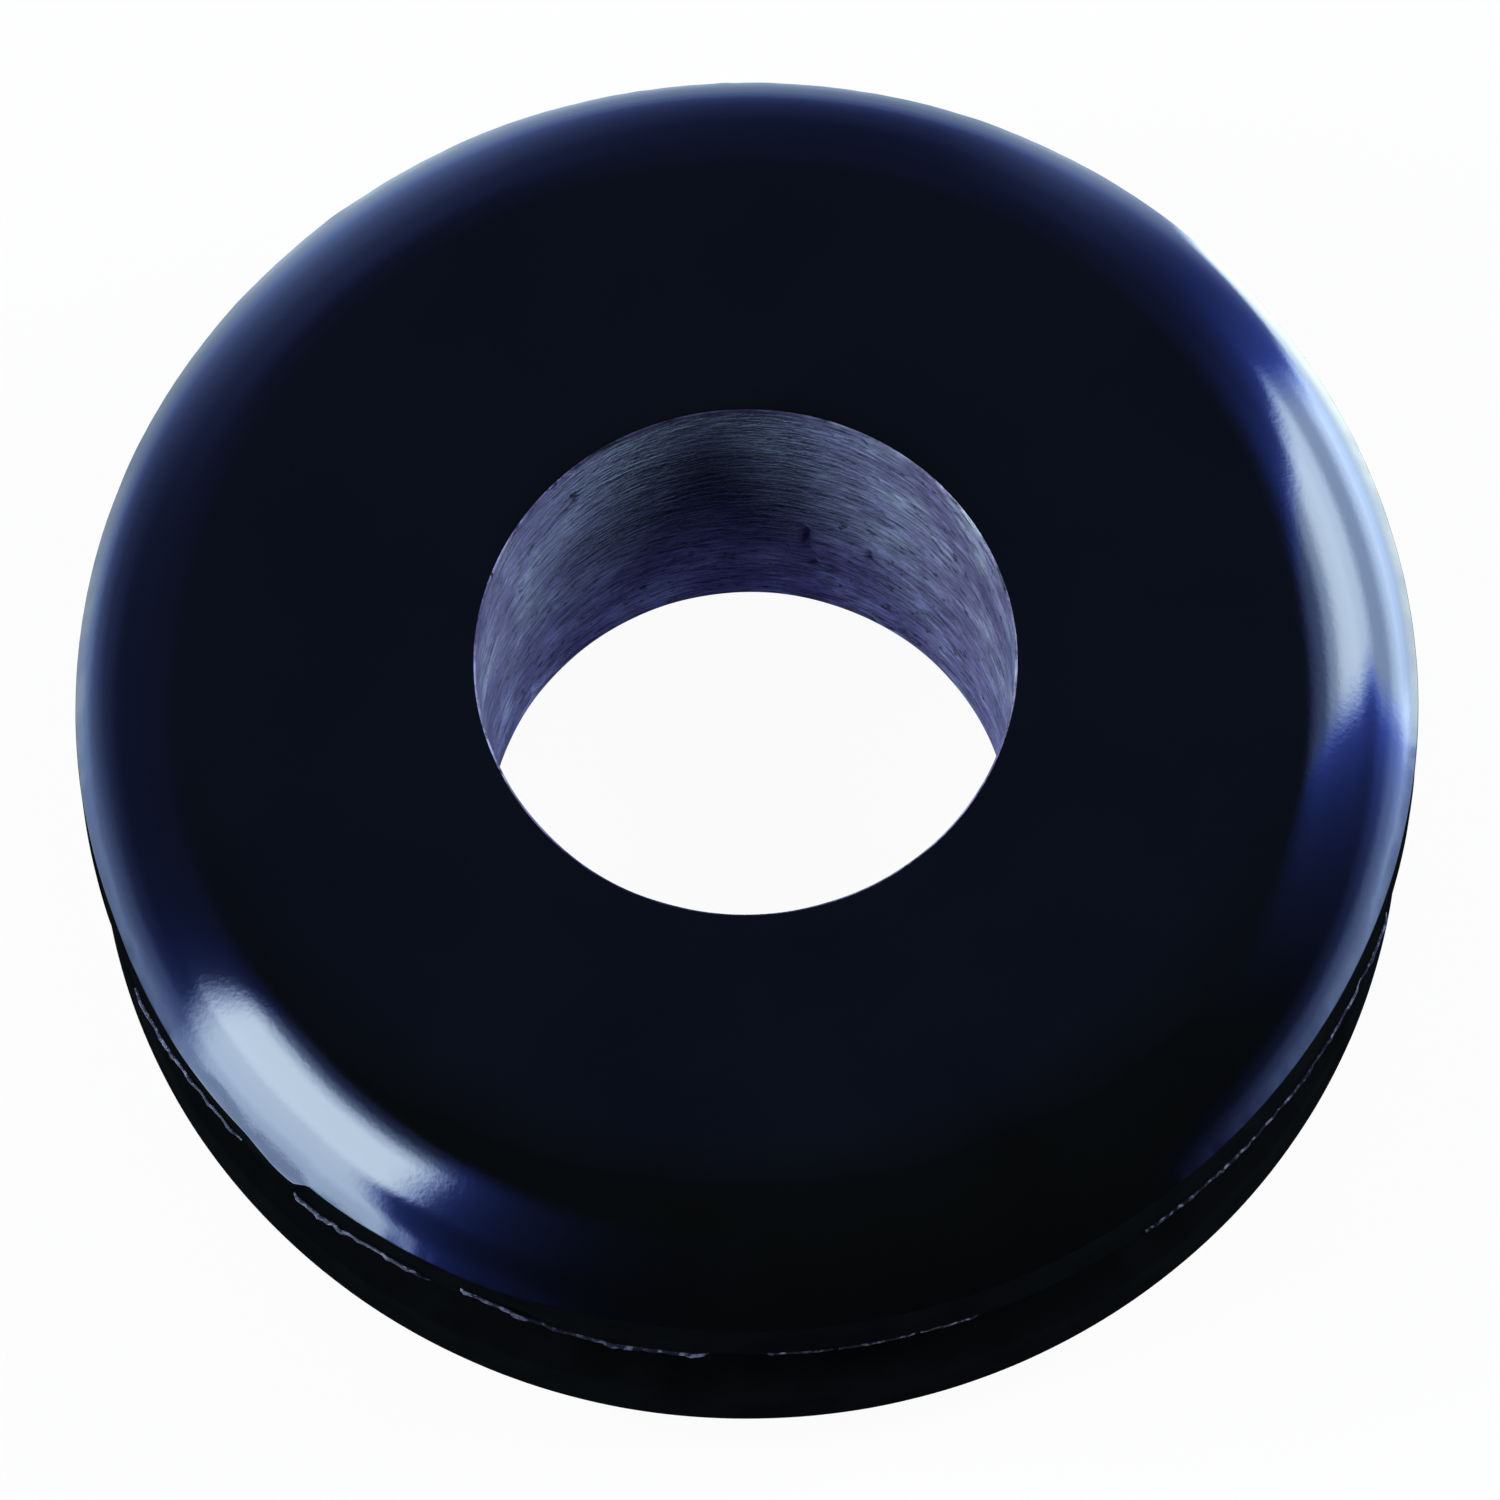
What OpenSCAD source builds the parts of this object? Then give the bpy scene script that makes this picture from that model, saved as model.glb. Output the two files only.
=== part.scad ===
// A rubber grommet, moulded in one piece: two flanges on a hollow core, with a groove
// between them that takes the edge of a panel's hole. A cable passes through the bore.
// Z is the axis, and the origin is the middle of the lower flange's outer face.

/* [Flanges] */
// Diameter of the upper flange
upper_flange_dia = 15.9; // [13:0.1:20]
// Diameter of the lower flange
lower_flange_dia = 15.7; // [13:0.1:20]
// Thickness of each flange
flange_t = 1.95; // [1.8:0.05:3]
// Radius of the rounding that runs from each flange's outer face towards its side
edge_r = 2.2; // [1.5:0.05:2.6]
// Depth below the outer face at which the rounding meets the upright side in a crease
crease_drop = 1.15; // [0.8:0.05:1.4]

/* [Panel groove] */
// Diameter of the groove's floor, which fills the hole in the panel
groove_dia = 9.5; // [8.4:0.1:11]
// Width of the groove, which holds the panel's edge
groove_w = 1.9; // [0.8:0.1:3.2]
// Radius of the fillet on each side of the groove's floor
groove_fillet_r = 0.3; // [0.1:0.05:0.35]

/* [Bore] */
// Diameter of the hole for the cable
bore_dia = 6.35; // [3:0.05:7]
// Radius of the rounding at each mouth of the bore
bore_edge_r = 0.1; // [0.05:0.01:0.3]

/* [Moulding flash] */
// Width of the thin fin left all round the upper flange, on its groove side
fin_w = 0.05; // [0.02:0.01:0.1]
// Thickness of the fin and of the torn scraps
fin_t = 0.1; // [0.06:0.01:0.2]
// Reach of the widest torn scrap past the flange's side
scrap_reach = 0.22; // [0.12:0.01:0.4]

/* [Hidden] */
$fn = 180;

rubber = [0.09, 0.1, 0.14];
// How far a shape that is cut away or joined runs past the face that it meets
eps = 0.5;

total_h = 2 * flange_t + groove_w;
upper_r = upper_flange_dia / 2;
lower_r = lower_flange_dia / 2;
groove_r = groove_dia / 2;
bore_r = bore_dia / 2;

// Torn scraps of flash: where the middle of each lies round the axis, in degrees, half
// the angle that it spans, and its reach as a share of the widest
SCRAPS = [
    [206, 13, 0.9], [233, 8, 1], [252, 7, 0.8], [264, 6, 0.65], [281, 5, 0.4], [312, 9, 0.6],
    [338, 6, 0.5], [18, 10, 0.7], [57, 6, 0.45], [96, 12, 0.85], [131, 5, 0.5], [163, 9, 0.7]
];

// Half of a flange's section, with its groove face on the X axis and its outer face above.
// The rounding's centre lies where its arc leaves the outer face flat and reaches the side
// at the crease
module flange_section(side_r) {
    centre_x = side_r - sqrt(edge_r * edge_r - pow(edge_r - crease_drop, 2));
    difference() {
        square([side_r, flange_t]);
        translate([centre_x, flange_t - edge_r])
            difference() {
                square(edge_r + eps);
                circle(edge_r);
            }
    }
}

// What a fillet fills between the groove's floor and the flange face above it
module fillet_section() {
    difference() {
        translate([groove_r - eps, -groove_fillet_r])
            square([eps + groove_fillet_r, groove_fillet_r]);
        translate([groove_r + groove_fillet_r, -groove_fillet_r])
            circle(groove_fillet_r);
    }
}

// Half of the section from the middle of the groove outwards: the core and one flange
module half_section(side_r) {
    square([groove_r, groove_w / 2 + flange_t]);
    translate([0, groove_w / 2]) {
        flange_section(side_r);
        fillet_section();
    }
}

// The outer form, before the bore
module blank() {
    translate([0, 0, total_h / 2]) {
        rotate_extrude()
            half_section(upper_r);
        mirror([0, 0, 1])
            rotate_extrude()
                half_section(lower_r);
    }
}

// What the rounding at the bore's lower mouth takes away
module mouth_section() {
    difference() {
        translate([0, -eps])
            square([bore_r + bore_edge_r, eps + bore_edge_r]);
        translate([bore_r + bore_edge_r, bore_edge_r])
            circle(bore_edge_r);
    }
}

// The cable's hole, with both of its mouths rounded
module bore() {
    rotate_extrude() {
        translate([0, -eps])
            square([bore_r, total_h + 2 * eps]);
        mouth_section();
        translate([0, total_h])
            mirror([0, 1])
                mouth_section();
    }
}

// A scrap is the crescent by which a smaller disc stands past the flange's side. The
// disc's place and radius follow from the crescent's half angle and from its reach
module scrap(half_span, reach) {
    tip_r = upper_r + reach;
    disc_x = (tip_r * tip_r - upper_r * upper_r) / (2 * (tip_r - upper_r * cos(half_span)));
    translate([disc_x, 0, 0])
        cylinder(r = tip_r - disc_x, h = fin_t);
}

// Rubber that was squeezed out where the mould closes, at the upper flange's groove corner
module flash() {
    translate([0, 0, total_h - flange_t]) {
        cylinder(r = upper_r + fin_w, h = fin_t);
        for (s = SCRAPS)
            rotate([0, 0, s[0]])
                scrap(s[1], s[2] * scrap_reach);
    }
}

module grommet() {
    color(rubber)
        difference() {
            union() {
                blank();
                flash();
            }
            bore();
        }
}

grommet();
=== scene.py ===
"""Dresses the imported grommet: one moulded rubber body with its torn flash, lit as in the photograph."""

import math

import bpy
from mathutils import Matrix, Vector, noise


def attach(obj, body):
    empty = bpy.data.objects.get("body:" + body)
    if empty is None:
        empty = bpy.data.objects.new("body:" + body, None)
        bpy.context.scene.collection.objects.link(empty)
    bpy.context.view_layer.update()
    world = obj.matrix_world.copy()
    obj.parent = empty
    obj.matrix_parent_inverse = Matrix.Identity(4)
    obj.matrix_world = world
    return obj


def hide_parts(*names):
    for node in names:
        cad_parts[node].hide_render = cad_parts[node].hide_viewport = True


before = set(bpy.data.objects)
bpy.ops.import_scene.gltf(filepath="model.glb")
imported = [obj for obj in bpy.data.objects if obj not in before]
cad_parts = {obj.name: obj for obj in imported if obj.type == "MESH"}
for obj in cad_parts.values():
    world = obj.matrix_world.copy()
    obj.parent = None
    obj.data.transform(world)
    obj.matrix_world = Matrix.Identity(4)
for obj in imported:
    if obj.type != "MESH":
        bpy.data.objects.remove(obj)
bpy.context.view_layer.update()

MM = 0.001

# Sizes in millimetres, as in the part's source, apart from the sharper edge of the bore's mouths
UPPER_R, LOWER_R = 7.95, 7.85
FLANGE_T, GROOVE_W = 1.95, 1.9
EDGE_R, CREASE_DROP = 2.2, 1.15
GROOVE_R, FILLET_R = 4.75, 0.3
BORE_R, BORE_EDGE_R = 3.175, 0.05
TOTAL_H = 2 * FLANGE_T + GROOVE_W
GROOVE_TOP, CREASE_Z = TOTAL_H - FLANGE_T, TOTAL_H - CREASE_DROP
# Slope of the rounding's normal at the crease, in degrees above level
CREASE_ANGLE = math.degrees(math.asin((EDGE_R - CREASE_DROP) / EDGE_R))
# Chamfer of the lower flange's corner at the groove
CORNER = 0.03

# Points round each ring of the body's mesh, and the height between the rings of the bore's wall
RING_POINTS = 720
BORE_STEP = 0.13
# Steps across the flat top and round the rounding, and where the gloss starts on the mouth's
# edge, in degrees
TOP_STEPS, ROUNDING_STEPS, GLOSS_START = 9, 16, 120

# Camera, from a fit of the rims and outlines in the photograph
ELEVATION, DISTANCE, LENS, ROLL = 68.806, 150.2, 306.65, 1.337
SHIFT_RIGHT, SHIFT_UP = 0.026, -1.057

# Torn flash on the upper flange's side: where each strip starts and ends round the axis, in
# degrees, how far it reaches out, and how far its start and its end are lifted, in mm
FLASH_STRIPS = [
    (203.5, 220.5, 0.065, 0.02, 0.14), (226.8, 241.2, 0.075, 0.0, 0.12), (243.4, 266.0, 0.060, 0.30, 0.0),
    (270.0, 289.0, 0.028, 0.0, 0.0), (304.0, 341.0, 0.045, 0.05, 0.0), (52.0, 63.0, 0.060, 0.0, 0.0),
    (82.0, 108.0, 0.120, 0.1, 0.0), (124.0, 135.0, 0.070, 0.0, 0.0),
]
# Thickness of the flash, how far it reaches between the strips, and how far its last station
# stays above the groove's edge, with as much more for each station before that one
FLASH_T, FLASH_LEFT, FLASH_STEP = 0.05, 0.006, 0.004
# Stations of the flash's own section, as shares of its reach and of its thickness
FLASH_SECTION = [(0, 0.55), (0.5, 0.5), (0.92, 0.28), (1, -0.05), (0.8, -0.35), (0.35, -0.5), (0, -0.52)]
# Height above the groove's edge that is left to the flash, and how far in and down its root runs
FLASH_ROOM, FLASH_ROOT = 0.22, (0.02, 0.002)
# Reach past which the flash's edge is ragged where it tore and pale with painted glints, and the stations
# that form that edge
TORN_REACH, TORN_STATIONS = 0.014, (1, 2, 3)

# Stretches where the rounding runs on past the crease's place: by how many degrees of its arc,
# and the azimuths where that starts, is full, starts to fade and has faded
RUN_ON = [
    (2.0, 198.0, 208.0, 245.0, 256.0),
    (1.5, 205.0, 214.0, 227.2, 229.0),
    (3.0, 221.0, 226.4, 227.2, 229.0),
]
# How far outwards and along the axis a station of the crease may lie from the crease's place
CREASE_NEAR = (0.04, 0.09)

# Pits in the bore's wall: azimuth in degrees, height, half width round the bore, half height
# and depth, in mm
BORE_PITS = [
    (76.0, 2.02, 0.045, 0.26, 0.12), (74.4, 1.42, 0.05, 0.18, 0.07), (70.6, 1.38, 0.16, 0.06, 0.04),
    (61.3, 2.10, 0.045, 0.10, 0.09), (54.5, 0.62, 0.045, 0.13, 0.06), (52.3, 0.32, 0.05, 0.10, 0.06),
    (144.2, 0.34, 0.07, 0.14, 0.11), (147.6, 3.93, 0.045, 0.10, 0.07), (129.2, 4.95, 0.05, 0.10, 0.06),
    (102.7, 1.50, 0.14, 0.16, 0.025), (118.0, 1.75, 0.10, 0.12, 0.03), (201.0, 3.1, 0.08, 0.14, 0.06),
    (238.0, 1.6, 0.10, 0.12, 0.06), (287.0, 4.2, 0.07, 0.16, 0.06), (334.0, 2.4, 0.10, 0.10, 0.06),
]


def noise_at(x, y, z, scale_xy, scale_z, seed):
    """Smooth noise from about -1 to 1 with its own scale across and along the axis, per mm."""
    place = (x * scale_xy + seed * 17.3, y * scale_xy - seed * 9.1, z * scale_z + seed * 5.7)
    return noise.noise(Vector(place))


def smoothstep(low, high, value):
    """0 up to low, 1 from high on, and eased between them."""
    t = min(1.0, max(0.0, (value - low) / (high - low)))
    return t * t * (3 - 2 * t)


def turn_between(angle, start):
    """How many degrees angle lies past start, going anticlockwise."""
    return (angle - start) % 360.0


# The section, as stations (radius, height, zone) from the bore's foot up and round again

def line(start, end, count, zone):
    """Stations after start, up to and with end."""
    return [
        (start[0] + (end[0] - start[0]) * k / count, start[1] + (end[1] - start[1]) * k / count, zone)
        for k in range(1, count + 1)
    ]


def arc(centre, radius, start, end, count, zone):
    """Stations on an arc after its start angle, in degrees, up to and with its end."""
    stations = []
    for k in range(1, count + 1):
        a = math.radians(start + (end - start) * k / count)
        stations.append((centre[0] + radius * math.cos(a), centre[1] + radius * math.sin(a), zone))
    return stations


def upside_down(stations):
    """The same stations mirrored top to bottom, in the opposite order."""
    return [(r, TOTAL_H - z, zone) for r, z, zone in reversed(stations)]


def flange_outside(side_r):
    """Top flange's stations from the bore's mouth out to the crease and down its side."""
    centre_r = side_r - EDGE_R * math.cos(math.radians(CREASE_ANGLE))
    mouth = (BORE_R + BORE_EDGE_R, TOTAL_H - BORE_EDGE_R)
    stations = arc(mouth, BORE_EDGE_R, 180, GLOSS_START, 3, "bore")
    stations += arc(mouth, BORE_EDGE_R, GLOSS_START, 90, 1, "gloss")
    stations += line(stations[-1], (centre_r, TOTAL_H), TOP_STEPS, "gloss")
    # The rounding ends just short of the crease, which three more stations ease
    stations += arc((centre_r, TOTAL_H - EDGE_R), EDGE_R, 90, CREASE_ANGLE + 0.8, ROUNDING_STEPS, "gloss")
    stations += [
        (side_r - 0.008, CREASE_Z + 0.016, "gloss"),
        (side_r - 0.001, CREASE_Z - 0.004, "side"),
        (side_r, CREASE_Z - 0.03, "side"),
    ]
    return stations


def section():
    """All stations of the closed section."""
    fillet_x = GROOVE_R + FILLET_R
    wall_low, wall_high = BORE_EDGE_R, TOTAL_H - BORE_EDGE_R
    rows = round((wall_high - wall_low) / BORE_STEP)
    upper = flange_outside(UPPER_R)
    upper += line(upper[-1], (UPPER_R, GROOVE_TOP + FLASH_ROOM), 3, "side")
    upper += [(UPPER_R, GROOVE_TOP, "flash")] * len(FLASH_SECTION)
    upper += [(UPPER_R - FLASH_ROOT[0], GROOVE_TOP - FLASH_ROOT[1], "side")]
    upper += line(upper[-1], (fillet_x, GROOVE_TOP), 3, "side")
    upper += arc((fillet_x, GROOVE_TOP - FILLET_R), FILLET_R, 90, 180, 3, "side")
    lower = flange_outside(LOWER_R)
    lower += line(lower[-1], (LOWER_R, GROOVE_TOP + CORNER), 2, "side")
    lower += [(LOWER_R - CORNER, GROOVE_TOP, "side")]
    lower += line(lower[-1], (fillet_x, GROOVE_TOP), 3, "side")
    lower += arc((fillet_x, GROOVE_TOP - FILLET_R), FILLET_R, 90, 180, 3, "side")
    wall = line((BORE_R, wall_low), (BORE_R, wall_high), rows, "bore")
    return wall + upper + upside_down(lower) + [(BORE_R, wall_low, "bore")]


def outward(stations):
    """Unit normals of the closed section at its stations."""
    normals = []
    count = len(stations)
    for k in range(count):
        before, after = stations[k - 1], stations[(k + 1) % count]
        dr, dz = after[0] - before[0], after[1] - before[1]
        size = math.hypot(dr, dz) or 1.0
        normals.append((-dz / size, dr / size))
    return normals


# Relief, in mm

def bore_relief(x, y, z, degrees):
    """Scored wall of the bore: shallow rings, patches and pits; positive is into the opening."""
    streaks = 0.0065 * noise_at(x, y, z, 0.75, 5.2, 1) + 0.0045 * noise_at(x, y, z, 1.4, 9.0, 2)
    patches = 0.012 * noise_at(x, y, z, 0.9, 0.7, 3)
    depth = 0.0
    for azimuth, height, half_width, half_height, pit_depth in BORE_PITS:
        across = (turn_between(degrees, azimuth - 180.0) - 180.0) * math.pi / 180 * BORE_R / half_width
        along = (z - height) / half_height
        if abs(across) < 2.2 and abs(along) < 2.2:
            depth = max(depth, pit_depth * math.exp(-(across * across + along * along)))
    return streaks + patches - depth


def skin_relief(x, y, z):
    """Faint unevenness of the moulded skin."""
    return 0.005 * noise_at(x, y, z, 0.35, 0.35, 4) + 0.0016 * noise_at(x, y, z, 1.3, 1.3, 5)


def crease_shift(degrees):
    """How far out and up the crease lies from its place, in mm: in one stretch the rounding runs on."""
    dip = 0.0
    for extra, start, full, fading, end in RUN_ON:
        dip += extra * smoothstep(start, full, degrees) * (1 - smoothstep(fading, end, degrees))
    place, moved = math.radians(CREASE_ANGLE), math.radians(CREASE_ANGLE - dip)
    return EDGE_R * (math.cos(moved) - math.cos(place)), EDGE_R * (math.sin(moved) - math.sin(place))


def crease_share(z):
    """Share of the crease's shift that a height takes: all at the crease, none on top or at the groove."""
    if z > CREASE_Z:
        return ((TOTAL_H - z) / CREASE_DROP) ** 8
    return max(0.0, (z - GROOVE_TOP) / (CREASE_Z - GROOVE_TOP))


def nibbles(x, y):
    """Small unevenness of the crease's height, in mm."""
    return 0.020 * noise_at(x, y, 0, 1.6, 1, 11) + 0.014 * noise_at(x, y, 0, 5.5, 1, 12)


def flash_shape(x, y, degrees):
    """Reach of the flash past the side, and the height of its middle above the groove's edge."""
    ragged = 1 + 0.55 * noise_at(x, y, 0, 2.6, 1, 6) + 0.6 * noise_at(x, y, 0, 9.0, 1, 7)
    reach, lift = FLASH_LEFT * (1 + 0.5 * noise_at(x, y, 0, 4.0, 1, 8)), 0.0
    for start, end, strip_reach, lift_start, lift_end in FLASH_STRIPS:
        past, span = turn_between(degrees, start), end - start
        if past <= span:
            body = smoothstep(0, 0.4, past) * smoothstep(0, 1.2, span - past)
            reach = max(reach, strip_reach * body * max(0.15, ragged))
            lift = lift_start * (1 - smoothstep(0, 0.6 * span, past)) + lift_end * smoothstep(0, span, past)
            lift *= body
    wander = 0.03 * noise_at(x, y, 0, 0.9, 1, 9) + 0.02 * noise_at(x, y, 0, 3.1, 1, 10)
    return reach, 0.5 * FLASH_T + 0.035 + wander + lift


def flash_all_round():
    """Reach and middle of the flash at each point of a ring."""
    shapes = []
    for j in range(RING_POINTS):
        a = 2 * math.pi * j / RING_POINTS
        shapes.append(flash_shape(UPPER_R * math.cos(a), UPPER_R * math.sin(a), math.degrees(a)))
    return shapes


def body_vertices(stations, normals, shapes, flash_start):
    """Places of all the body's points, in metres, ring by ring."""
    vertices = []
    shifts = [crease_shift(360.0 * j / RING_POINTS) for j in range(RING_POINTS)]
    for k, ((r0, z0, zone), (nr, nz)) in enumerate(zip(stations, normals)):
        share = crease_share(z0)
        at_crease = abs(r0 - UPPER_R) < CREASE_NEAR[0] and abs(z0 - CREASE_Z) < CREASE_NEAR[1]
        for j in range(RING_POINTS):
            a = 2 * math.pi * j / RING_POINTS
            c, s = math.cos(a), math.sin(a)
            r, z = r0, z0
            if zone == "flash":
                reach, middle = shapes[j]
                out, up = FLASH_SECTION[k - flash_start]
                still_below = flash_start + len(FLASH_SECTION) - k
                r = UPPER_R + reach * out
                z = GROOVE_TOP + max(middle + FLASH_T * up, FLASH_STEP * still_below)
            elif zone == "bore":
                r += nr * bore_relief(r * c, r * s, z, math.degrees(a))
            else:
                depth = skin_relief(r * c, r * s, z)
                r += nr * depth + share * shifts[j][0]
                z += nz * depth + share * shifts[j][1]
                if at_crease:
                    z += nibbles(r * c, r * s)
            vertices.append((r * c * MM, r * s * MM, z * MM))
    return vertices


MATERIAL_OF_ZONE = {"gloss": 0, "side": 1, "bore": 2, "flash": 3}


def build_body(materials):
    """One closed mesh of the whole grommet."""
    stations = section()
    normals = outward(stations)
    shapes = flash_all_round()
    flash_start = next(k for k, s in enumerate(stations) if s[2] == "flash")
    vertices = body_vertices(stations, normals, shapes, flash_start)
    count = len(stations)
    faces, zones = [], []
    for k in range(count):
        after = (k + 1) % count
        zone = stations[after][2] if stations[after][2] != "flash" else "side"
        for j in range(RING_POINTS):
            right = (j + 1) % RING_POINTS
            low, high = k * RING_POINTS, after * RING_POINTS
            faces.append((low + j, low + right, high + right, high + j))
            torn_edge_glints = k - flash_start in TORN_STATIONS and shapes[j][0] > TORN_REACH
            zones.append(MATERIAL_OF_ZONE["flash" if torn_edge_glints else zone])
    mesh = bpy.data.meshes.new("grommet_rubber")
    mesh.from_pydata(vertices, [], faces)
    for material in materials:
        mesh.materials.append(material)
    mesh.polygons.foreach_set("material_index", zones)
    mesh.polygons.foreach_set("use_smooth", [True] * len(faces))
    mesh.update()
    body = bpy.data.objects.new("grommet_rubber", mesh)
    bpy.context.collection.objects.link(body)
    return body


# Materials

class Nodes:
    """Short calls for building a material's nodes."""

    def __init__(self, name):
        self.material = bpy.data.materials.new(name)
        self.material.use_nodes = True
        self.tree = self.material.node_tree
        self.shader = self.tree.nodes["Principled BSDF"]

    def add(self, kind, **settings):
        node = self.tree.nodes.new(kind)
        for key, value in settings.items():
            setattr(node, key, value)
        return node

    def link(self, source, target):
        self.tree.links.new(source, target)

    def set(self, **sockets):
        for key, value in sockets.items():
            self.shader.inputs[key.replace("_", " ")].default_value = value

    def place(self, scale=(1, 1, 1)):
        """Object coordinates, in mm times scale."""
        coordinates = self.add("ShaderNodeTexCoord")
        mapping = self.add("ShaderNodeMapping")
        mapping.inputs["Scale"].default_value = [v / MM for v in scale]
        self.link(coordinates.outputs["Object"], mapping.inputs["Vector"])
        return mapping.outputs["Vector"]

    def noise(self, place, scale, detail=3.0, roughness=0.5, distortion=0.0):
        node = self.add("ShaderNodeTexNoise")
        node.inputs["Scale"].default_value = scale
        node.inputs["Detail"].default_value = detail
        node.inputs["Roughness"].default_value = roughness
        node.inputs["Distortion"].default_value = distortion
        self.link(place, node.inputs["Vector"])
        return node.outputs["Fac"]

    def ramp(self, value, *stops):
        """Colours or greys at their places between 0 and 1."""
        node = self.add("ShaderNodeValToRGB")
        elements = node.color_ramp.elements
        while len(elements) < len(stops):
            elements.new(1.0)
        for element, (at, colour) in zip(elements, stops):
            element.position = at
            element.color = (*colour, 1) if isinstance(colour, tuple) else (colour, colour, colour, 1)
        self.link(value, node.inputs["Fac"])
        return node.outputs["Color"]

    def math(self, operation, a, b):
        node = self.add("ShaderNodeMath", operation=operation)
        for socket, value in zip(node.inputs, (a, b)):
            if isinstance(value, (int, float)):
                socket.default_value = value
            else:
                self.link(value, socket)
        return node.outputs["Value"]

    def mix(self, factor, a, b, blend="MIX"):
        node = self.add("ShaderNodeMix", data_type="RGBA", blend_type=blend)
        for socket, value in ((node.inputs["Factor"], factor), (node.inputs[6], a), (node.inputs[7], b)):
            if isinstance(value, (int, float)):
                socket.default_value = value
            elif isinstance(value, tuple):
                socket.default_value = (*value, 1)
            else:
                self.link(value, socket)
        return node.outputs[2]

    def bump(self, height, distance, strength=1.0, normal=None):
        node = self.add("ShaderNodeBump")
        node.inputs["Strength"].default_value = strength
        node.inputs["Distance"].default_value = distance * MM
        self.link(height, node.inputs["Height"])
        if normal is not None:
            self.link(normal, node.inputs["Normal"])
        return node.outputs["Normal"]


def gloss_rubber():
    """Moulded skin: near black, with a soft mirror-like gloss."""
    n = Nodes("rubber_skin")
    place = n.place()
    cloud = n.noise(place, 0.5, 4.0)
    black = n.ramp(cloud, (0.35, (0.0024, 0.0030, 0.0032)), (0.65, (0.0029, 0.0037, 0.0041)))
    n.link(black, n.shader.inputs["Base Color"])
    n.link(n.ramp(n.noise(place, 2.2, 5.0, 0.6), (0.3, 0.5), (0.7, 0.6)), n.shader.inputs["Roughness"])
    n.set(IOR=1.5, Specular_IOR_Level=0.0, Coat_Weight=1.0, Coat_Roughness=0.09, Coat_IOR=1.5)
    grain = n.bump(n.noise(place, 14.0, 3.0, 0.55), 0.0008)
    n.link(grain, n.shader.inputs["Normal"])
    n.link(grain, n.shader.inputs["Coat Normal"])
    return n.material


def side_rubber():
    """Dull sides and groove, where the mould's parts meet."""
    n = Nodes("rubber_side")
    place = n.place()
    dull = n.ramp(n.noise(place, 1.6, 4.0), (0.3, (0.0034, 0.0044, 0.0052)), (0.7, (0.0056, 0.0068, 0.0080)))
    n.link(dull, n.shader.inputs["Base Color"])
    n.set(Roughness=0.9, Specular_IOR_Level=0.0)
    n.link(n.bump(n.noise(place, 9.0, 4.0, 0.6), 0.004), n.shader.inputs["Normal"])
    return n.material


def bore_rubber_painted_light():
    """Matte scored wall of the bore: dusty where seen aslant, with painted light on its left and right and
    towards its bottom, and painted shade across its middle.
    """
    n = Nodes("rubber_bore_painted_light")
    place = n.place()
    streaks = n.noise(n.place((2.8, 2.8, 13.0)), 1.0, 6.0, 0.75, 0.5)
    streak_grey = n.ramp(streaks, (0.38, 0.22), (0.64, 1.9))
    specks = n.ramp(n.noise(place, 7.0, 2.0, 0.5), (0.30, 0.15), (0.37, 1.0))
    patches = n.noise(n.place((1.0, 1.0, 1.2)), 0.9, 5.0, 0.65)
    dark, mid, pale = (0.042, 0.031, 0.098), (0.082, 0.076, 0.180), (0.150, 0.172, 0.285)
    patch_colour = n.ramp(patches, (0.34, dark), (0.5, mid), (0.68, pale))
    parts = n.add("ShaderNodeSeparateXYZ")
    n.link(place, parts.inputs["Vector"])
    across = n.math("ADD", n.math("MULTIPLY", parts.outputs["X"], 0.5 / BORE_R), 0.5)
    # Painted light and shade: paler towards the left and right of the wall, where the lamps fall, and darker
    # in its middle
    sides = n.ramp(
        across, (0.02, (2.7, 2.8, 2.3)), (0.14, 1.2), (0.28, 0.42), (0.5, 0.25), (0.6, 0.6),
        (0.72, (1.8, 1.9, 1.6)), (0.95, (3.5, 3.8, 2.7)),
    )
    # Painted light: paler towards the bottom of the wall
    foot = n.ramp(n.math("DIVIDE", parts.outputs["Z"], TOTAL_H), (0.08, 1.6), (0.52, 0.03))
    painted_light_and_shade = n.mix(1.0, sides, foot, "ADD")
    scored = n.mix(1.0, n.mix(1.0, patch_colour, streak_grey, "MULTIPLY"), specks, "MULTIPLY")
    n.link(n.mix(1.0, scored, painted_light_and_shade, "MULTIPLY"), n.shader.inputs["Base Color"])
    n.set(Roughness=0.75, Specular_IOR_Level=0.0)
    n.set(Sheen_Weight=1.0, Sheen_Roughness=0.25, Sheen_Tint=(0.5, 0.68, 1.0, 1))
    fine = n.bump(n.noise(n.place((3.0, 3.0, 14.0)), 1.0, 4.0, 0.6, 0.3), 0.03)
    n.link(n.bump(n.noise(place, 9.0, 3.0, 0.6), 0.012, normal=fine), n.shader.inputs["Normal"])
    return n.material


def flash_rubber_painted_glints():
    """Thin ragged edge of the flash, with pale specks painted on it as glints where it catches the light."""
    n = Nodes("rubber_flash_painted_glints")
    place = n.place()
    # Painted glints: pale specks on the flash's ragged edge, where it catches the light
    torn_edge_glints = n.ramp(n.noise(place, 8.0, 4.0, 0.7), (0.50, (0.005, 0.006, 0.012)), (0.62, (0.20, 0.22, 0.34)))
    n.link(torn_edge_glints, n.shader.inputs["Base Color"])
    n.set(Roughness=0.5, Specular_IOR_Level=0.2)
    n.link(n.bump(n.noise(place, 12.0, 3.0, 0.6), 0.01), n.shader.inputs["Normal"])
    return n.material


# Stage, light and camera

# How white the floor and the backdrop are by themselves where the camera or a reflection sees them
SELF_LIT = 0.95
# Radius of the flat floor and height of the backdrop that curves up from it, in metres
FLOOR_R, BACKDROP_H = 3.0, 2.5


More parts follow.
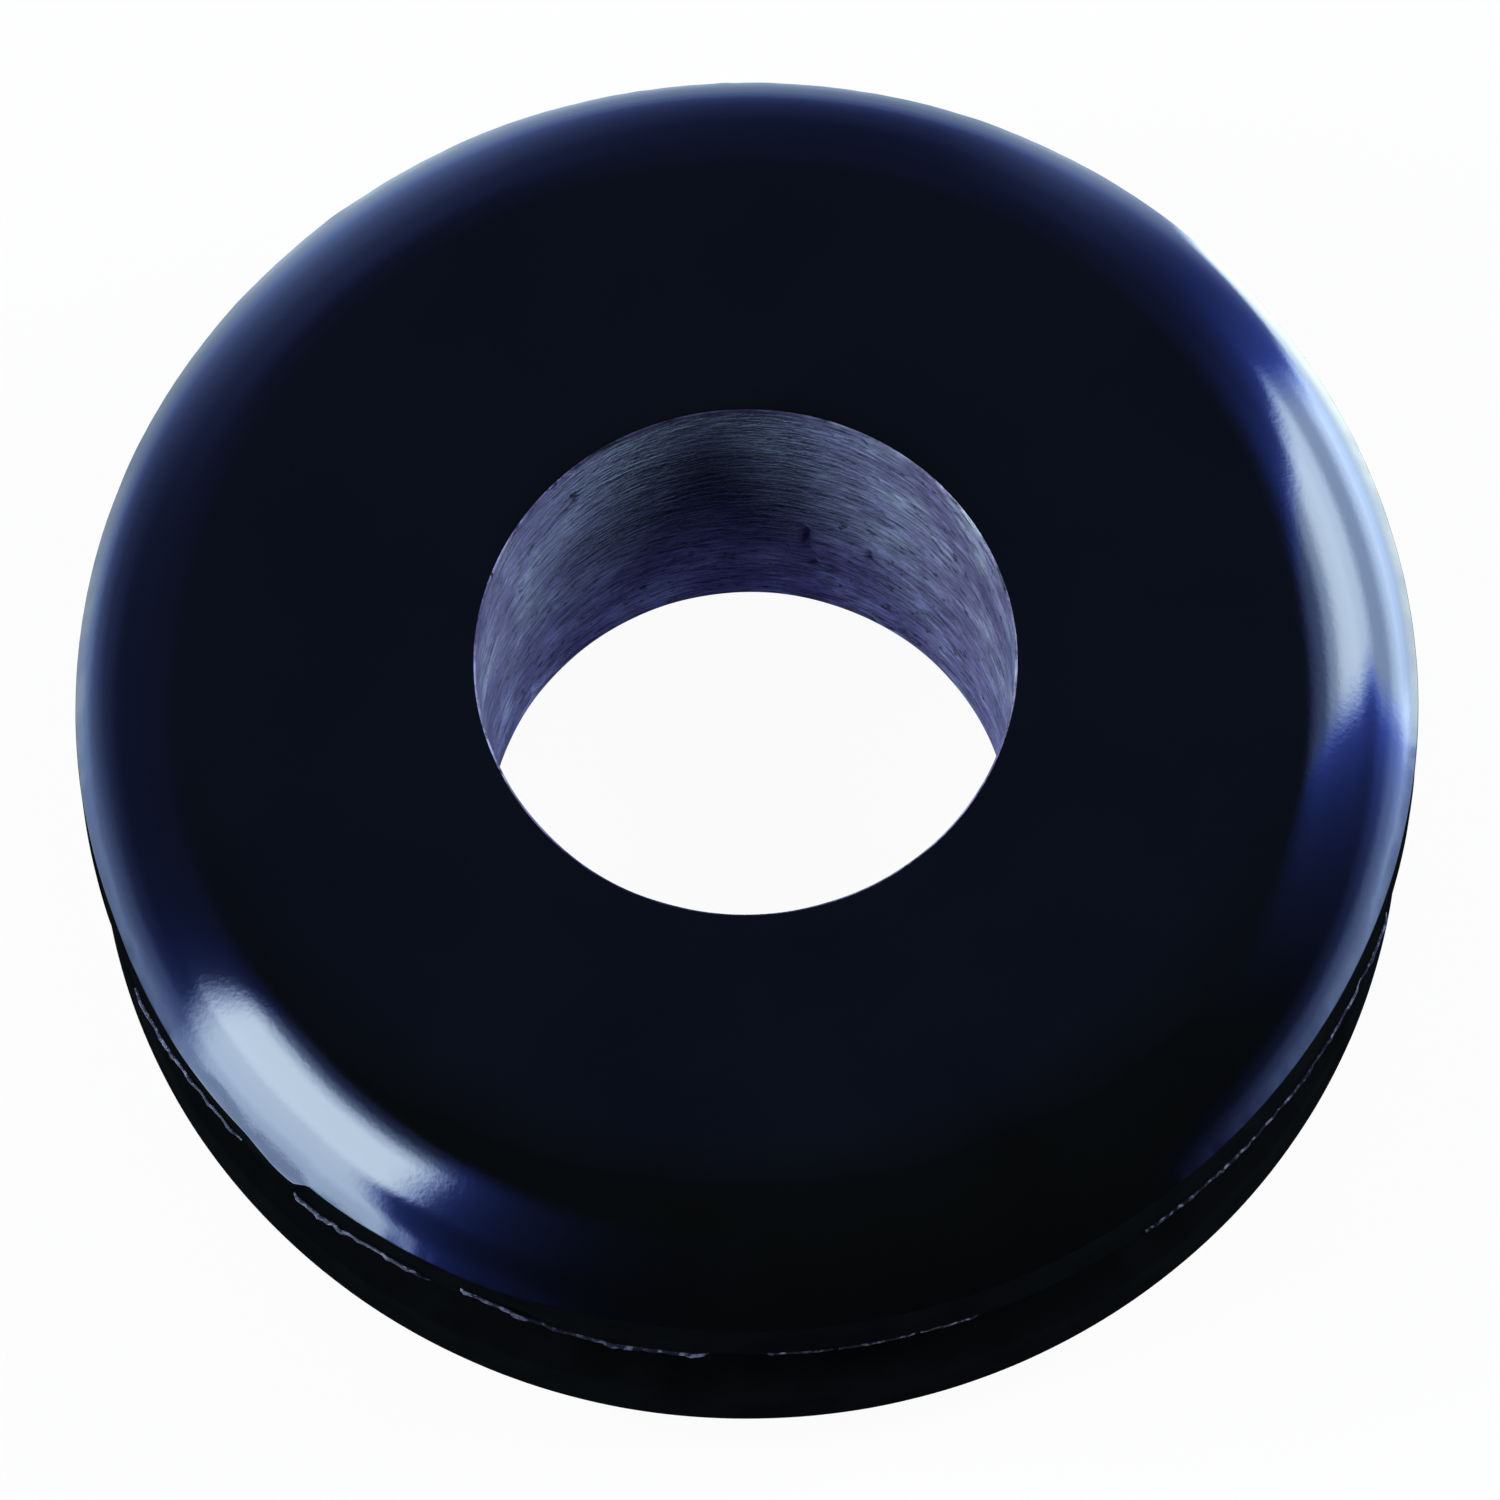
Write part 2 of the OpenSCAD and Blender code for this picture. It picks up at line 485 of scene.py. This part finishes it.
def white_paper():
    """Pale paper: white to the camera and to reflections, and it keeps part of the shadow."""
    n = Nodes("paper")
    n.tree.nodes.remove(n.shader)
    paint = n.add("ShaderNodeBsdfDiffuse")
    paint.inputs["Color"].default_value = (0.87, 0.87, 0.87, 1)
    glow = n.add("ShaderNodeEmission")
    glow.inputs["Color"].default_value = (1, 1, 1, 1)
    path = n.add("ShaderNodeLightPath")
    seen = n.math("ADD", path.outputs["Is Camera Ray"], path.outputs["Is Glossy Ray"])
    seen = n.math("ADD", seen, path.outputs["Is Transmission Ray"])
    seen = n.math("MINIMUM", seen, 1.0)
    sheet = n.add("ShaderNodeMixShader")
    n.link(n.math("MULTIPLY", seen, SELF_LIT), sheet.inputs[0])
    n.link(paint.outputs["BSDF"], sheet.inputs[1])
    n.link(glow.outputs["Emission"], sheet.inputs[2])
    n.link(sheet.outputs["Shader"], n.tree.nodes["Material Output"].inputs["Surface"])
    return n.material


def revolved(name, profile, columns, material):
    """Stage mesh made by turning a profile of (radius, height) in metres about the axis."""
    vertices, faces = [], []
    for i, (radius, height) in enumerate(profile):
        for j in range(columns):
            a = 2 * math.pi * j / columns
            vertices.append((radius * math.cos(a), radius * math.sin(a), height))
            if i:
                low, high, right = (i - 1) * columns, i * columns, (j + 1) % columns
                faces.append((low + j, low + right, high + right, high + j))
    mesh = bpy.data.meshes.new(name)
    mesh.from_pydata(vertices, [], faces)
    mesh.polygons.foreach_set("use_smooth", [True] * len(faces))
    mesh.materials.append(material)
    thing = bpy.data.objects.new(name, mesh)
    bpy.context.collection.objects.link(thing)
    return thing


def build_floor():
    """Flat floor that turns up into a backdrop all round."""
    profile, steps = [(0.0, 0.0), (FLOOR_R, 0.0)], 12
    for k in range(1, steps + 1):
        a = math.pi / 2 * k / steps
        profile.append((FLOOR_R + math.sin(a), 1 - math.cos(a)))
    profile.append((FLOOR_R + 1, BACKDROP_H))
    revolved("paper", profile, 96, white_paper())


# The room above is faintly blue behind the grommet and black in front of it. A direction counts
# by how far back it points, and by ROOM_ASIDE of how far it points aside. The blue starts at
# ROOM_START and is full at ROOM_FULL, and on the tent it shows between two heights in mm
ROOM = (0.033, 0.047, 0.168)
ROOM_ASIDE, ROOM_START, ROOM_FULL = 0.2, -0.17, 0.4
ROOM_HEIGHTS = (6, 20)

# The reflections come from a tent close round the grommet, which only glossy rays see. It
# has a skirt on the table and a wall above it, with two soft boxes in the wall. Heights in it
# are in mm, and negative ones lie on the skirt. Each box has its brightness by height, the
# azimuths of its two ends by height, and the strength of the blue halo before and past it
TENT_R, TENT_FOOT_R, TENT_TOP = 26.0, 9.2, 40.0
RIGHT_BOX = [
    (-16.8, 1.0), (-13, 3.6), (-8, 3.3), (-4, 4.6), (0, 6.0), (2, 5.2), (4.5, 2.9), (7, 3.3), (10, 8.2),
    (13, 10.0), (16, 9.6), (20, 3.8), (24, 0.8), (32, 0.0),
]
RIGHT_ENDS = [
    (-16.8, 7.2, 58), (-12, 7.2, 53), (-7, 7.2, 43.5), (2, 11.5, 41.5), (6, 12, 41.5), (9, 15.5, 42),
    (13, 13.2, 39), (17, 13, 36), (40, 10, 30),
]
RIGHT_HALO = (6.8, 4.5)
LEFT_BOX = [
    (-16.8, 1.0), (-9, 3.6), (-3, 2.1), (1, 5.4), (4, 7.7), (8.5, 8.8), (10.5, 11.4), (18, 11.6), (20.5, 7.6),
    (23.5, 1.5), (27, 0.2), (32, 0.0),
]
LEFT_ENDS = [(-16.8, 203, 229), (1.5, 200.5, 229.8), (5, 199.5, 225.5), (8, 199, 224.5), (11, 198, 228.6)]
LEFT_HALO = (1.6, 3.6)
# Degrees over which a box fades each way at its ends
BOX_EDGE = 3.0
# Blue halo beside the boxes by height, its colour, and the degrees over which it fades
HALO = [(-16.8, 0.05), (-6, 0.2), (0, 0.8), (8, 1.0), (20, 1.0), (33, 0.0)]
HALO_TINT, HALO_REACH = (0.08, 0.16, 1.0), 6.0
# Dim light behind the grommet by height, the azimuths of its ends, and the degrees over which
# it fades each way there
BACK_GLOW = [
    (-16.8, 0.55), (-10, 0.46), (-6, 0.3), (-2, 0.16), (4, 0.09), (10, 0.04), (18, 0.015), (28, 0.0),
]
BACK_ENDS, BACK_EDGE = (350, 550), 14.0
# Brighter lobes in it by height: those that reach up the wall, and those that lie mostly on the
# skirt. Their places are (strength, azimuth, width)
WALL_LOBES = [(-16.8, 0.5), (1, 0.5), (6, 0.33), (12, 0.15), (20, 0.0)]
WALL_PLACES = [(0.48, 65, 5), (1.0, 121, 13)]
SKIRT_LOBES = [(-16.8, 0.9), (-12, 1.6), (-9, 1.3), (-6, 0.8), (-3, 0.55), (0, 0.35), (4, 0.08), (8, 0.0)]
SKIRT_PLACES = [(1.0, 166, 12)]
# Light low down before each box by height. Its places are a strength and the azimuths where it
# starts, is full and ends, and past its end it fades over FOOT_EDGE degrees
FOOT_GLOW = [(-16.8, 0.4), (-8, 0.75), (-4, 2.1), (0, 1.5), (2.5, 0.9), (5.5, 0.12), (9, 0.0)]
FOOT_PLACES = [(1.0, 316, 362, 371), (0.55, 158, 192, 200)]
FOOT_EDGE = 4
# Green and blue over red in the tent's light, each with how fast it falls as the light shows
# brighter. The skirt's foot is mirrored aslant, so light there shows brighter, by LOW_GAIN,
# and that gain fades between two heights
GREEN_TINT, BLUE_TINT = (1.5, 0.075), (3.0, 0.27)
LOW_GAIN, LOW_HEIGHTS = 8.0, (-15, -6)
# How many degrees before a box or a glow still count as before it, and not as past it
BEFORE = 80


def at_height(rows, height):
    """Values of a table at a height, eased between its rows."""
    if height <= rows[0][0]:
        return rows[0][1:]
    for low, high in zip(rows, rows[1:]):
        if height <= high[0]:
            t = smoothstep(low[0], high[0], height)
            return [a + (b - a) * t for a, b in zip(low[1:], high[1:])]
    return rows[-1][1:]


def outside(azimuth, start, end):
    """How many degrees an azimuth lies outside two ends, and less than 0 between them."""
    past = turn_between(azimuth, start - BEFORE) - BEFORE
    return max(-past, past - (end - start))


def rising(azimuth, start, full, end):
    """0 at start, 1 at full and 0 again just past end, in degrees."""
    past, span = turn_between(azimuth, start), end - start
    return smoothstep(0, full - start, past) * (1 - smoothstep(span, span + FOOT_EDGE, past))


def bump_at(azimuth, middle, width):
    """Bell with a height of 1 round an azimuth."""
    return math.exp(-0.5 * ((azimuth - middle) / width) ** 2)


def room_light(azimuth, height):
    """Strength of the room's light in the direction of a point on the tent."""
    a, e = math.radians(azimuth), math.atan2(height, TENT_R)
    behind = (math.sin(a) + ROOM_ASIDE * abs(math.cos(a))) * math.cos(e)
    return min(1.0, max(0.0, (behind - ROOM_START) / (ROOM_FULL - ROOM_START)))


def tent_light(azimuth, height):
    """Colour of the tent at an azimuth in degrees and a height in mm: bluer where it shows dimmer."""
    level = halo = 0.0
    boxes = ((RIGHT_BOX, RIGHT_ENDS, RIGHT_HALO), (LEFT_BOX, LEFT_ENDS, LEFT_HALO))
    for box, box_ends, (before, after) in boxes:
        start, end = at_height(box_ends, height)
        past = outside(azimuth, start, end)
        inside = 1 - smoothstep(-BOX_EDGE, BOX_EDGE, past)
        strength = after if turn_between(azimuth, (start + end) / 2) < 180 else before
        level += at_height(box, height)[0] * inside
        halo += at_height(HALO, height)[0] * strength * (1 - inside) * math.exp(-max(past, 0.0) / HALO_REACH)
    behind = 1 - smoothstep(-BACK_EDGE, BACK_EDGE, outside(azimuth, *BACK_ENDS))
    level += at_height(BACK_GLOW, height)[0] * behind
    for lobes, places in ((WALL_LOBES, WALL_PLACES), (SKIRT_LOBES, SKIRT_PLACES)):
        bumps = sum(share * bump_at(azimuth, middle, width) for share, middle, width in places)
        level += at_height(lobes, height)[0] * bumps
    beside = sum(share * rising(azimuth, *ends) for share, *ends in FOOT_PLACES)
    level += at_height(FOOT_GLOW, height)[0] * beside
    shown = max(level, 0.001) * (LOW_GAIN - (LOW_GAIN - 1) * smoothstep(*LOW_HEIGHTS, height))
    green = GREEN_TINT[0] * level * min(1.0, shown ** -GREEN_TINT[1])
    blue = BLUE_TINT[0] * level * shown ** -BLUE_TINT[1]
    lamp = (level, green, blue)
    room = smoothstep(*ROOM_HEIGHTS, height) * room_light(azimuth, height)
    return [c + halo * h + room * r for c, h, r in zip(lamp, HALO_TINT, ROOM)]


def build_tent():
    """Tent whose points carry its light as a colour, seen by glossy rays alone."""
    n = Nodes("tent")
    n.tree.nodes.remove(n.shader)
    emission = n.add("ShaderNodeEmission")
    light = n.add("ShaderNodeAttribute", attribute_name="light")
    n.link(light.outputs["Color"], emission.inputs["Color"])
    n.link(emission.outputs["Emission"], n.tree.nodes["Material Output"].inputs["Surface"])
    n.material.cycles.emission_sampling = "NONE"
    step, lift, columns = 0.4, 0.05, 360
    skirt = TENT_R - TENT_FOOT_R
    heights = [-skirt + step * k for k in range(round((TENT_TOP + skirt) / step) + 1)]
    profile = [((TENT_R + min(h, 0.0)) * MM, (lift + max(h, 0.0)) * MM) for h in heights]
    tent = revolved("tent", profile, columns, n.material)
    colours = []
    for height in heights:
        for j in range(columns):
            colours.extend((*tent_light(360.0 * j / columns, height), 1.0))
    tent.data.color_attributes.new("light", "FLOAT_COLOR", "POINT").data.foreach_set("color", colours)
    tent.visible_camera = tent.visible_diffuse = tent.visible_shadow = False
    tent.visible_transmission = tent.visible_volume_scatter = False


def soft_box(name, azimuth, elevation, width, length, energy):
    """A soft box for the matte surfaces, aimed at the grommet, with its size in metres."""
    reach = 0.3
    lamp = bpy.data.lights.new(name, "AREA")
    lamp.shape = "RECTANGLE"
    lamp.size, lamp.size_y = width, length
    lamp.energy = energy
    lamp.color = (0.93, 0.97, 1.0)
    box = bpy.data.objects.new(name, lamp)
    a, e = math.radians(azimuth), math.radians(elevation)
    away = Vector((math.cos(a) * math.cos(e), math.sin(a) * math.cos(e), math.sin(e)))
    box.location = reach * away
    box.rotation_mode = "QUATERNION"
    box.rotation_quaternion = (-away).to_track_quat("-Z", "Y")
    box.visible_camera = box.visible_glossy = False
    bpy.context.collection.objects.link(box)


def build_room():
    """World that shows the room above the tent."""
    world = bpy.data.worlds.new("room")
    world.use_nodes = True
    tree = world.node_tree
    direction = tree.nodes.new("ShaderNodeTexCoord")
    parts = tree.nodes.new("ShaderNodeSeparateXYZ")
    aside = tree.nodes.new("ShaderNodeMath")
    aside.operation = "ABSOLUTE"
    past_front = tree.nodes.new("ShaderNodeMath")
    past_front.operation = "MULTIPLY_ADD"
    past_front.inputs[1].default_value = ROOM_ASIDE
    behind = tree.nodes.new("ShaderNodeMapRange")
    behind.inputs["From Min"].default_value = ROOM_START
    behind.inputs["From Max"].default_value = ROOM_FULL
    background = tree.nodes["Background"]
    background.inputs["Color"].default_value = (*ROOM, 1)
    tree.links.new(direction.outputs["Generated"], parts.inputs["Vector"])
    tree.links.new(parts.outputs["X"], aside.inputs[0])
    tree.links.new(aside.outputs["Value"], past_front.inputs[0])
    tree.links.new(parts.outputs["Y"], past_front.inputs[2])
    tree.links.new(past_front.outputs["Value"], behind.inputs["Value"])
    tree.links.new(behind.outputs["Result"], background.inputs["Strength"])
    bpy.context.scene.world = world
    bpy.context.scene.view_settings.view_transform = "Standard"


def build_light():
    """Lamps for the matte surfaces, and the tent and the room for the gloss."""
    soft_box("soft_box_right", 8, 40, 0.14, 0.18, 0.64)
    soft_box("soft_box_left", 188, 40, 0.14, 0.18, 0.64)
    soft_box("soft_box_above", 90, 88, 0.12, 0.12, 0.11)
    build_tent()
    build_room()


def build_camera():
    """Camera that looks down on the grommet as the photograph does."""
    e, roll = math.radians(ELEVATION), math.radians(ROLL)
    right, up = Vector((1, 0, 0)), Vector((0, math.sin(e), math.cos(e)))
    ahead = Vector((0, math.cos(e), -math.sin(e)))
    eye = Vector((0, 0, TOTAL_H)) - DISTANCE * ahead + SHIFT_RIGHT * right + SHIFT_UP * up
    x = math.cos(roll) * right - math.sin(roll) * up
    y = math.sin(roll) * right + math.cos(roll) * up
    data = bpy.data.cameras.new("camera")
    data.sensor_width = 36
    data.lens = LENS
    data.clip_start, data.clip_end = 0.01, 20
    camera = bpy.data.objects.new("camera", data)
    camera.matrix_world = Matrix.Translation(eye * MM) @ Matrix((x, y, -ahead)).transposed().to_4x4()
    bpy.context.collection.objects.link(camera)
    bpy.context.scene.camera = camera


build_camera()
build_light()
build_floor()
body = build_body([gloss_rubber(), side_rubber(), bore_rubber_painted_light(), flash_rubber_painted_glints()])
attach(body, "root")
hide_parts("grommet")
